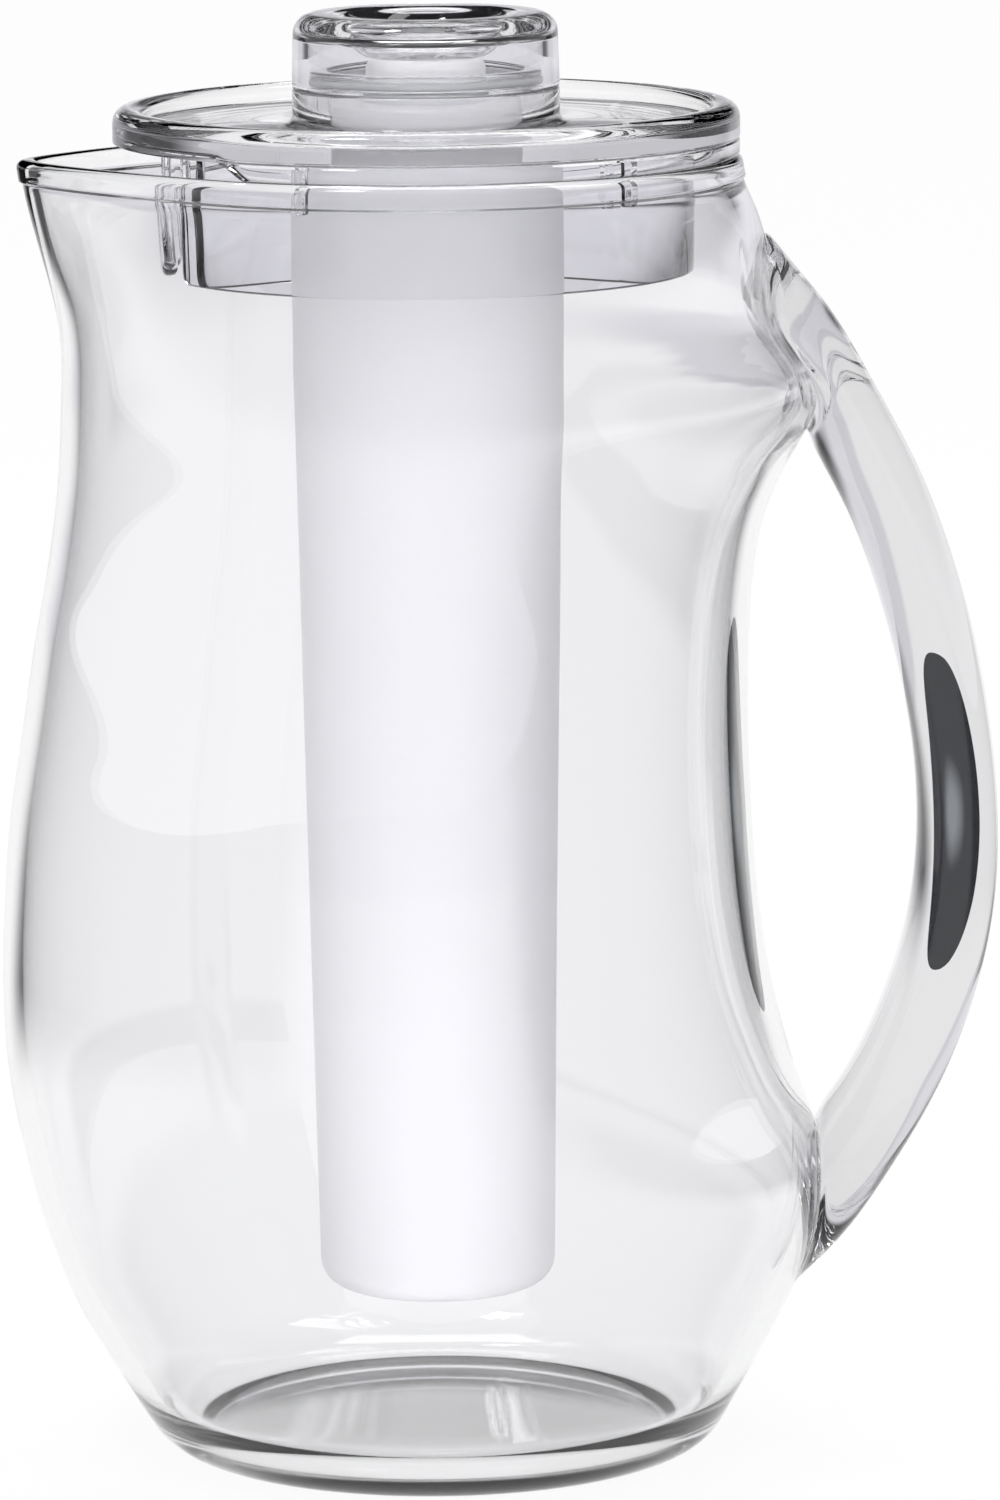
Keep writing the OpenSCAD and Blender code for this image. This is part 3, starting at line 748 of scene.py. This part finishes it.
# closed outline of the lid at angle a from the spout, in degrees
def lidOutline(a):
    plateLow = lid["rimZ"] + lid["bandH"]
    plateTop = plateLow + lid["plateT"]
    ringTop = lid["rimZ"] + lid["ringH"]
    collarTop = plateTop + lid["collarH"]
    spigotTop = collarTop + lid["spigotH"]
    socketLow = lid["rimZ"] - lid["socketDrop"]
    skirtLow = lid["rimZ"] - lid["skirtDrop"]
    grooveLow = collarTop + (lid["spigotH"] - lid["grooveH"]) / 2
    away = abs(a)

    banded = float(ease((away - lid["bandGapDeg"]) / lid["bandRampDeg"]))
    bandLow = plateLow - (lid["bandH"] - lid["seatGap"]) * banded
    # skirt, or finger inside the pouring gap
    outR, inR, low, endRound = lid["skirtR"], lid["skirtR"] - lid["skirtT"], plateLow, lid["edge"]
    perDeg = math.radians(1) * lid["skirtR"]
    if away > lid["pourDeg"]:
        fromEdge = (away - lid["pourDeg"]) * perDeg
        corner = lid["skirtCorner"]
        low = skirtLow + dropAt(max(0, corner - fromEdge), corner, corner)
    fromFinger = (away - lid["fingerDeg"]) * perDeg
    if abs(fromFinger) < lid["fingerW"] / 2:
        outR = lid["skirtR"] - lid["fingerSetback"]
        inR, endRound = outR - lid["fingerT"], lid["fingerRound"]
        low = skirtLow + dropAt(fromFinger, lid["fingerW"] / 2, lid["fingerW"] / 2)
    ribR, ribLow = outR, plateLow
    for ribDeg in lid["ribsDeg"]:
        fromRib = (away - ribDeg) * perDeg
        if abs(fromRib) < lid["ribW"] / 2:
            ribR = outR + lid["ribOut"]
            ribLow = lid["rimZ"] - lid["ribDrop"] + dropAt(fromRib, lid["ribW"] / 2, lid["ribW"] / 2)
    hang = min(endRound, (plateLow - low) * lid["hangShare"])
    ringR, bandR = lid["r"], lid["r"] - lid["bandSetback"] * banded
    underRing = lid["ringRound"] + (lid["creaseRound"] - lid["ringRound"]) * banded
    return softened([
        [lid["boreR"], spigotTop, lid["edge"]],
        [lid["spigotR"], spigotTop, lid["outerEdge"]],
        [lid["spigotR"], grooveLow + lid["grooveH"], lid["grooveLip"]],
        [lid["grooveR"], grooveLow + lid["grooveH"], lid["grooveRound"]],
        [lid["grooveR"], grooveLow, lid["grooveRound"]],
        [lid["spigotR"], grooveLow, lid["grooveLip"]],
        [lid["spigotR"], collarTop, lid["spigotFoot"]],
        [lid["collarR"], collarTop, lid["outerEdge"]],
        [lid["collarR"], plateTop, lid["collarFillet"]],
        [ringR - lid["ringT"], plateTop, lid["ringFoot"]],
        [ringR - lid["ringT"], ringTop, lid["ringTopRound"]],
        [ringR, ringTop, lid["ringTopRound"]],
        [ringR, plateLow + lid["ringLift"], underRing],
        [ringR - lid["crease"] * banded, plateLow, lid["creaseRoot"]],
        [bandR, plateLow - lid["crease"] * banded, lid["creaseFoot"]],
        [bandR, bandLow, lid["bandRound"] * banded],
        [ringR - lid["bandT"], bandLow, min(lid["bandInner"], (plateLow - bandLow) * lid["bandInnerShare"])],
        [ringR - lid["bandT"], plateLow, 0],
        [ribR, plateLow, 0],
        [ribR, ribLow, 0],
        [outR, ribLow, 0],
        [outR, low, hang],
        [inR, low, hang],
        [inR, plateLow, 0],
        [lid["socketR"], plateLow, lid["edge"]],
        [lid["socketR"], socketLow, lid["edge"]],
        [lid["boreR"], socketLow, lid["edge"]],
    ])


def buildLid():
    perDeg = math.radians(1) * lid["skirtR"]
    even = [360 * k / lid["columns"] - 180 for k in range(lid["columns"])]
    n, sheer, digits = lid["ribColumns"], lid["sheerDeg"], lid["digits"]
    steps, fine = [lid["pourDeg"]], []
    fine += [lid["pourDeg"] + lid["skirtCorner"] / perDeg * share for share in shares(lid["cornerColumns"])]
    fine += [lid["bandGapDeg"] + lid["bandRampDeg"] * share for share in [0] + shares(lid["rampColumns"])]
    for middle, width in [(lid["fingerDeg"], lid["fingerW"])] + [(r, lid["ribW"]) for r in lid["ribsDeg"]]:
        half = width / 2 / perDeg
        steps += [middle - half, middle + half]
        fine += [middle + half * math.sin(math.pi / 2 * k / n) for k in range(1 - n, n)]
    # each column's place and side of a step, and the angle whose outline it takes
    columns = {}
    for side in (-1, 1):
        for a in steps:
            columns[(round(side * a, digits), -1)] = side * a - sheer
            columns[(round(side * a, digits), 1)] = side * a + sheer
        for a in fine:
            columns[(round(side * a, digits), 0)] = side * a
    special = sorted({key[0] for key in columns})
    for a in even:
        if min(abs(a - b) for b in special) > lid["clearDeg"]:
            columns[(round(a, digits), 0)] = a
    keys = sorted(columns)
    verts, faces = lathe([lidOutline(columns[key]) for key in keys], [key[0] for key in keys])
    return finishMesh("strainerLid", verts, faces, clearLid, "lid", "lid", lid["sharpDeg"])


buildLid()


# knob: a thick hollow cap with a dish, and the plug that it carries
knob = {
    "lowZ": 276.85,
    "topZ": 291.7,
    "r": 26.8,
    "taper": 0.4,
    "wall": 3.3,
    "shoulder": 5,
    "dishR": 17.3,
    "dishDepth": 5.8,
    "dishFlat": 0.62,
    "dishEdge": 1.2,
    "dishStart": 0.3,  # below the top
    "roof": 3,
    "lip": 3.8,
    "cavityRound": 1.6,
    "bossR": 4,
    "bossH": 3,
    "footRound": 0.5,
    "lipRound": 0.8,
    "edge": 0.4,
    "bossFillet": 0.3,
    "dishPoints": 16,
    "steps": 200,
    "segments": 7,
    "sharpDeg": 40,
}


# the dish's fall from its edge to its flat middle
def dishLine(edgeR, topZ, floorZ):
    flat = knob["dishR"] * knob["dishFlat"]
    return [
        [edgeR + (flat - edgeR) * u, topZ - (topZ - floorZ) * float(ease(u)), 0]
        for u in [0] + shares(knob["dishPoints"])
    ]


def buildKnob():
    topR = knob["r"] - knob["taper"]
    cavityR = knob["r"] - knob["wall"]
    floorZ = knob["topZ"] - knob["dishDepth"]
    roofZ = knob["topZ"] - knob["lip"]
    under = floorZ - knob["roof"]
    outside = [[knob["r"], knob["lowZ"], knob["footRound"]], [topR, knob["topZ"], knob["shoulder"]]]
    outside += [[knob["dishR"] + knob["dishEdge"], knob["topZ"], knob["lipRound"]]]
    outside += dishLine(knob["dishR"], knob["topZ"] - knob["dishStart"], floorZ)
    outside += [[0, floorZ, 0], [0, under - knob["bossH"], 0]]
    inside = [[knob["bossR"], under - knob["bossH"], knob["edge"]]]
    inside += [[knob["bossR"], under, knob["bossFillet"]]]
    inside += list(reversed(dishLine(knob["dishR"] + knob["roof"], roofZ, under)))
    inside += [[cavityR, roofZ, knob["cavityRound"]], [cavityR, knob["lowZ"], knob["edge"]]]
    verts, faces = turned(outside + inside, knob["steps"], knob["segments"])
    return finishMesh("hollowKnob", verts, faces, clearKnob, "knob", "knob", knob["sharpDeg"])


buildKnob()

plug = {
    "topZ": 282.86,
    "lowZ": 276.3,
    "r": 12,
    "topRound": 2,
    "holeR": 4.05,  # takes the knob's boss
    "holeH": 3.3,
    "stemR": 9.75,
    "stemH": 6,
    "stemWall": 2.4,
    "stemRound": 0.8,
    "edge": 0.3,
    "innerEdge": 0.2,
    "steps": 120,
    "segments": 6,
}


def buildPlug():
    top, low, stemLow = plug["topZ"], plug["lowZ"], plug["lowZ"] - plug["stemH"]
    hollowR, holeLow = plug["stemR"] - plug["stemWall"], top - plug["holeH"]
    corners = [
        [plug["holeR"], top, plug["edge"]], [plug["r"], top, plug["topRound"]],
        [plug["r"], low, plug["edge"]], [plug["stemR"], low, plug["innerEdge"]],
        [plug["stemR"], stemLow, plug["stemRound"]],
        [hollowR, stemLow, plug["stemRound"] / 2], [hollowR, low, plug["stemRound"]], [0, low, 0],
        [0, holeLow, 0], [plug["holeR"], holeLow, plug["innerEdge"]],
    ]
    verts, faces = turned(corners, plug["steps"], plug["segments"])
    return finishMesh("whitePlug", verts, faces, waxyWhite, "knob", "seal_plug")


buildPlug()


# ice core: tapered frosted tube with its threaded socket, raised shoulder and filling neck
core = {
    "r": 27.2,
    "footR": 23.8,
    "footZ": 32.5,
    "footRound": 5.5,
    "wall": 2.4,
    "taperZ": 220,
    "shoulderZ": 254.68,
    "topZ": 266.4,
    "raisedR": 19.3,
    "raisedZ": 273.78,
    "neckR": 13.5,
    "neckBoreR": 10,
    "neckTopZ": 275.28,
    "steps": 160,
    "threadPitch": 4.2,
    "threadDepth": 0.35,
    "threadLowZ": 264,
    "threadHighZ": 272.58,
    "threadEnd": 0.2,  # share of the thread over which it runs out
    "threadPoints": 30,
    "taperRound": 30,  # so large that the taper has no edge
    "edge": 0.5,
    "shoulderRound": 0.6,
    "raisedRound": 0.9,
    "neckRound": 0.4,
    "neckFoot": 0.3,
    "innerRound": 1.5,
    "segments": 6,
}


# the raised shoulder's wall with a shallow screw thread cut into it, at one share of a turn
def threadedWall(turn):
    line = []
    for u in [0] + shares(core["threadPoints"]):
        z = core["threadLowZ"] + (core["threadHighZ"] - core["threadLowZ"]) * u
        depth = core["threadDepth"] * float(ease(min(u, 1 - u) / core["threadEnd"]))
        wave = 0.5 - 0.5 * math.cos(2 * math.pi * (z / core["threadPitch"] - turn))
        line.append([core["raisedR"] - depth * wave, z, 0])
    return line


def buildCore():
    wall, edge, taper = core["wall"], core["edge"], core["taperRound"]
    outside = [
        [0, core["footZ"], 0], [core["footR"], core["footZ"], core["footRound"]],
        [core["r"], core["taperZ"], taper], [core["r"], core["topZ"], edge],
        [core["r"] - wall, core["topZ"], edge], [core["r"] - wall, core["shoulderZ"], core["shoulderRound"]],
        [core["raisedR"], core["shoulderZ"], edge],
    ]
    neck = [
        [core["raisedR"], core["raisedZ"], core["raisedRound"]],
        [core["neckR"], core["raisedZ"], core["neckFoot"]],
        [core["neckR"], core["neckTopZ"], core["neckRound"]],
        [core["neckBoreR"], core["neckTopZ"], core["neckFoot"]],
    ]
    underShoulder, underNeck, innerR = core["shoulderZ"] - wall, core["raisedZ"] - wall, core["r"] - wall
    inside = [
        [core["neckBoreR"], underNeck, edge], [core["raisedR"] - wall, underNeck, 1],
        [core["raisedR"] - wall, underShoulder, edge], [innerR, underShoulder, core["innerRound"]],
        [innerR, core["taperZ"], taper],
        [core["footR"] - wall, core["footZ"] + wall, core["footRound"] - wall], [0, core["footZ"] + wall, 0],
    ]
    turns = [k / core["steps"] for k in range(core["steps"])]
    profiles = [softened(outside + threadedWall(turn) + neck + inside, core["segments"]) for turn in turns]
    verts, faces = lathe(profiles, [360 * turn for turn in turns])
    return finishMesh("iceCore", verts, faces, frostedWhite, "core", "ice_core")


buildCore()

# silicone seals, a film of air smaller than their nodes
sealSteps, sealSegments = 120, 6
seals = {
    "coreWasher": {"node": "core_seal", "body": "lid_washer", "wide": 4.8, "round": 0.5, "film": 0.04},
    "neckWasher": {"node": "neck_seal", "body": "neck_washer", "wide": 2.7, "round": 0.25, "film": 0.04},
    "knobRing": {"node": "knob_seal", "body": "knob_ring", "wide": 1.6, "round": 0.78, "film": 0.0},
}
for name, seal in seals.items():
    (_, _, lowZ), (outerR, _, highZ) = boxOf(seal["node"])
    lowZ, highZ, outerR = lowZ + seal["film"], highZ - seal["film"], outerR - seal["film"]
    innerR, edge = outerR - seal["wide"], seal["round"]
    corners = [[innerR, lowZ, edge], [outerR, lowZ, edge], [outerR, highZ, edge], [innerR, highZ, edge]]
    sealVerts, sealFaces = turned(corners, sealSteps, sealSegments)
    finishMesh(name, sealVerts, sealFaces, silicone, seal["body"], seal["node"])


# studio: a pale table with a black cloth along its left and right side, white walls and a dark ceiling
studio = {
    "floorHalf": 12.0,
    "floorDrop": 0.4,  # mm, so that base and floor don't share a plane
    "floorColour": "#f2f2f2",
    "floorRoughness": 0.8,
    "floorShow": 0.92,  # share of plain white that the eye sees, the rest keeps the shadow
    "farColour": "#e2e1e6",
    "farFrom": [1.9, 2.6],  # metres over which the table falls off to the grey behind it
    "clothColour": "#26262c",
    "clothTurn": [30.0, 42.0],  # degrees from straight ahead or behind over which the cloth begins
    "clothFrom": [0.9, 1.25],  # metres from the pitcher over which the cloth begins
    "clothNear": [0.3, 0.6],  # the same for what one solid edge of clear plastic bends into view
    "edgeCrossings": 2,
    "wallColour": "#efeef3",
    "ceilingColour": "#0a0a0c",
    "ceilingFrom": [0.06, 0.2],  # upward part of a direction over which the walls give way to the ceiling
    "sideLight": 0.55,  # light on milky pieces from the sides, and what front and back add to it
    "frontLight": 1.55,
    "tableLight": 1.12,  # times as much from the table, so that the foot of the core keeps its shading
    "throughClear": 1.6,  # times more through clear walls, which the lamps' own light doesn't cross
}


# light on milky pieces from a direction, more from front and back than from the sides
def lightFrom(tree, parts, times):
    ahead = addNode(tree, "ShaderNodeMath", {"operation": "MULTIPLY"}, {0: parts["Y"], 1: parts["Y"]})
    level = addNode(
        tree,
        "ShaderNodeMath",
        {"operation": "MULTIPLY_ADD", 1: studio["frontLight"] * times, 2: studio["sideLight"] * times},
        {0: ahead.outputs[0]},
    )
    return level.outputs[0]


# what a ray meets: even light if it comes from a milky piece, white straight from the eye, else the room
def shownTo(tree, path, room, light):
    lit = addNode(
        tree, "ShaderNodeMath", {"operation": "GREATER_THAN", 1: 0.5}, {0: path["Diffuse Depth"]}
    )
    lighting = addNode(
        tree, "ShaderNodeMix", {"data_type": "RGBA"}, {0: lit.outputs[0], 6: room, 7: light}
    )
    shown = addNode(
        tree,
        "ShaderNodeMix",
        {"data_type": "RGBA", 7: linear("#ffffff")},
        {0: path["Is Camera Ray"], 6: lighting.outputs[2]},
    )
    return shown.outputs[2]


def buildFloor():
    half, z = studio["floorHalf"], -studio["floorDrop"] * mm
    mesh = bpy.data.meshes.new("floor")
    corners = [(-half, -half, z), (half, -half, z), (half, half, z), (-half, half, z)]
    mesh.from_pydata(corners, [], [(0, 1, 2, 3)])
    material, tree = newMaterial("paintedBoard")  # emulsion paint, rolled: flat white
    path = addNode(tree, "ShaderNodeLightPath").outputs
    place = addNode(tree, "ShaderNodeNewGeometry").outputs["Position"]
    away = addNode(tree, "ShaderNodeVectorMath", {"operation": "LENGTH"}, {0: place}).outputs["Value"]
    straight = addNode(tree, "ShaderNodeVectorMath", {"operation": "NORMALIZE"}, {0: place})
    parts = addNode(tree, "ShaderNodeSeparateXYZ", links={0: straight.outputs["Vector"]}).outputs
    aside = addNode(tree, "ShaderNodeMath", {"operation": "ABSOLUTE"}, {0: parts["X"]}).outputs[0]
    # how far on the way a point is, from 0 to 1: round to the cloth, out to it, out to where it begins
    # behind a solid edge, and out to the grey
    beside, farCloth, nearCloth, grey = (
        addNode(
            tree,
            "ShaderNodeMapRange",
            {"interpolation_type": "SMOOTHSTEP", "From Min": start, "From Max": full},
            {"Value": value},
        ).outputs["Result"]
        for value, (start, full) in (
            (aside, [math.sin(math.radians(a)) for a in studio["clothTurn"]]),
            (away, studio["clothFrom"]),
            (away, studio["clothNear"]),
            (away, studio["farFrom"]),
        )
    )
    edge = addNode(
        tree,
        "ShaderNodeMath",
        {"operation": "LESS_THAN", 1: studio["edgeCrossings"] + 0.5},
        {0: path["Transmission Depth"]},
    ).outputs[0]
    near = addNode(tree, "ShaderNodeMath", {"operation": "MULTIPLY"}, {0: edge, 1: nearCloth}).outputs[0]
    cloth = addNode(tree, "ShaderNodeMath", {"operation": "MAXIMUM"}, {0: near, 1: farCloth}).outputs[0]
    cloth = addNode(tree, "ShaderNodeMath", {"operation": "MULTIPLY"}, {0: beside, 1: cloth}).outputs[0]
    cameraRay, clearRay, glossRay = (path[f"Is {kind} Ray"] for kind in ("Camera", "Transmission", "Glossy"))
    seen = addNode(tree, "ShaderNodeMath", {"operation": "MAXIMUM"}, {0: cameraRay, 1: clearRay}).outputs[0]
    seen = addNode(tree, "ShaderNodeMath", {"operation": "MAXIMUM"}, {0: seen, 1: glossRay}).outputs[0]
    share = addNode(tree, "ShaderNodeMath", {"operation": "MULTIPLY", 1: studio["floorShow"]}, {0: seen})
    table = addNode(
        tree,
        "ShaderNodeMix",
        {"data_type": "RGBA", 6: linear("#ffffff"), 7: linear(studio["farColour"])},
        {0: grey},
    )
    room = addNode(
        tree,
        "ShaderNodeMix",
        {"data_type": "RGBA", 7: linear(studio["clothColour"])},
        {0: cloth, 6: table.outputs[2]},
    )
    shown = shownTo(tree, path, room.outputs[2], lightFrom(tree, parts, studio["tableLight"]))
    paint = addNode(
        tree,
        "ShaderNodeBsdfPrincipled",
        {"Base Color": linear(studio["floorColour"]), "Roughness": studio["floorRoughness"]},
    )
    white = addNode(tree, "ShaderNodeEmission", {"Strength": 1.0}, {"Color": shown})
    mix = addNode(
        tree,
        "ShaderNodeMixShader",
        links={0: share.outputs[0], 1: paint.outputs["BSDF"], 2: white.outputs["Emission"]},
    )
    addNode(tree, "ShaderNodeOutputMaterial", links={"Surface": mix.outputs["Shader"]})
    mesh.materials.append(material)
    floor = bpy.data.objects.new("floor", mesh)
    scene.collection.objects.link(floor)


def buildWorld():
    world = bpy.data.worlds.new("studio")
    world.use_nodes = True
    tree = world.node_tree
    tree.nodes.clear()
    direction = addNode(tree, "ShaderNodeTexCoord")
    parts = addNode(tree, "ShaderNodeSeparateXYZ", links={0: direction.outputs["Generated"]}).outputs
    start, full = studio["ceilingFrom"]
    overhead = addNode(
        tree,
        "ShaderNodeMapRange",
        {"interpolation_type": "SMOOTHSTEP", "From Min": start, "From Max": full},
        {"Value": parts["Z"]},
    )
    room = addNode(
        tree,
        "ShaderNodeMix",
        {"data_type": "RGBA", 6: linear(studio["wallColour"]), 7: linear(studio["ceilingColour"])},
        {0: overhead.outputs["Result"]},
    )
    path = addNode(tree, "ShaderNodeLightPath").outputs
    through = addNode(
        tree,
        "ShaderNodeMath",
        {"operation": "MULTIPLY_ADD", 1: studio["throughClear"] - 1, 2: 1.0},
        {0: path["Is Transmission Ray"]},
    )
    light = addNode(
        tree,
        "ShaderNodeMath",
        {"operation": "MULTIPLY"},
        {0: lightFrom(tree, parts, 1.0), 1: through.outputs[0]},
    )
    shown = shownTo(tree, path, room.outputs[2], light.outputs[0])
    background = addNode(tree, "ShaderNodeBackground", {"Strength": 1.0}, {"Color": shown})
    addNode(tree, "ShaderNodeOutputWorld", links={"Surface": background.outputs["Background"]})
    scene.world = world


lamps = {
    "leftSoftbox": {"place": (-0.55, -0.45, 1.75), "size": (0.25, 0.35), "watts": 7},
    "rightSoftbox": {"place": (0.75, -0.1, 1.65), "size": (0.4, 0.8), "watts": 5},
    "topSoftbox": {"place": (0.0, 0.6, 1.7), "size": (0.9, 0.4), "watts": 6},
}
lampAim = (0, 0, 0.15)


def buildLamps():
    for name, lamp in lamps.items():
        data = bpy.data.lights.new(name, "AREA")
        data.shape = "RECTANGLE"
        data.size, data.size_y = lamp["size"]
        data.energy = lamp["watts"]
        lampObject = bpy.data.objects.new(name, data)
        lampObject.location = lamp["place"]
        toward = Vector(lampAim) - Vector(lamp["place"])
        lampObject.rotation_euler = toward.to_track_quat("-Z", "Y").to_euler()
        scene.collection.objects.link(lampObject)


# glowing dark card behind the handle, a painted dark reflection: it shows as a dark oval through one solid
# bar of clear plastic, and not through the walls of the hollow pitcher
flag = {
    "middle": (115.0, 85.0, 115.0),
    "half": (25.0, 36.0),
    "reflectionMiddleFrom": [0.1, 0.4],  # share of the way out over which the painted reflection's lighter grey middle turns black
    # painted reflection: its near-black rim and its lighter grey middle
    "edge": "#1c1e26",
    "core": "#8d9297",
    "crossings": 2,
    "around": 64,
    "rings": [0.3, 0.55, 0.8, 1.0],
}


def buildReflectionCard():
    x, y, z = flag["middle"]
    halfX, halfZ = flag["half"]
    verts = [(x, y, z)]
    for share in flag["rings"]:
        for k in range(flag["around"]):
            a = 2 * math.pi * k / flag["around"]
            verts.append((x + halfX * share * math.cos(a), y, z + halfZ * share * math.sin(a)))
    n = flag["around"]
    faces = [[i + 1 for i in face] for face in tubeFaces(len(flag["rings"]), n)]
    faces += [(0, 1 + k, 1 + (k + 1) % n) for k in range(n)]
    mesh = bpy.data.meshes.new("darkReflectionCard")
    mesh.from_pydata([[c * mm for c in v] for v in verts], [], faces)
    material, tree = newMaterial("paintedReflectionCard")  # glowing card: painted dark reflection with a lighter grey middle
    place = addNode(tree, "ShaderNodeNewGeometry").outputs["Position"]
    middle, half = [c * mm for c in flag["middle"]], (halfX * mm, 1.0, halfZ * mm)
    offset = addNode(tree, "ShaderNodeVectorMath", {"operation": "SUBTRACT", 1: middle}, {0: place})
    share = addNode(
        tree, "ShaderNodeVectorMath", {"operation": "DIVIDE", 1: half}, {0: offset.outputs["Vector"]}
    )
    away = addNode(tree, "ShaderNodeVectorMath", {"operation": "LENGTH"}, {0: share.outputs["Vector"]})
    start, full = flag["reflectionMiddleFrom"]
    dark = addNode(
        tree,
        "ShaderNodeMapRange",
        {"interpolation_type": "SMOOTHSTEP", "From Min": start, "From Max": full},
        {"Value": away.outputs["Value"]},
    )
    colour = addNode(
        tree,
        "ShaderNodeMix",
        {"data_type": "RGBA", 6: linear(flag["core"]), 7: linear(flag["edge"])},
        {0: dark.outputs["Result"]},
    )
    card = addNode(tree, "ShaderNodeEmission", {"Strength": 1.0}, {"Color": colour.outputs[2]})
    path = addNode(tree, "ShaderNodeLightPath")
    hollow = addNode(
        tree,
        "ShaderNodeMath",
        {"operation": "GREATER_THAN", 1: flag["crossings"] + 0.5},
        {0: path.outputs["Transmission Depth"]},
    )
    nothing = addNode(tree, "ShaderNodeBsdfTransparent")
    mix = addNode(
        tree,
        "ShaderNodeMixShader",
        links={0: hollow.outputs[0], 1: card.outputs["Emission"], 2: nothing.outputs["BSDF"]},
    )
    addNode(tree, "ShaderNodeOutputMaterial", links={"Surface": mix.outputs["Shader"]})
    mesh.materials.append(material)
    darkReflectionCard = bpy.data.objects.new("darkReflectionCard", mesh)
    scene.collection.objects.link(darkReflectionCard)
    for kind in ("camera", "diffuse", "glossy", "shadow"):
        setattr(darkReflectionCard, "visible_" + kind, False)


buildFloor()
buildWorld()
buildLamps()
buildReflectionCard()
print("studio set")
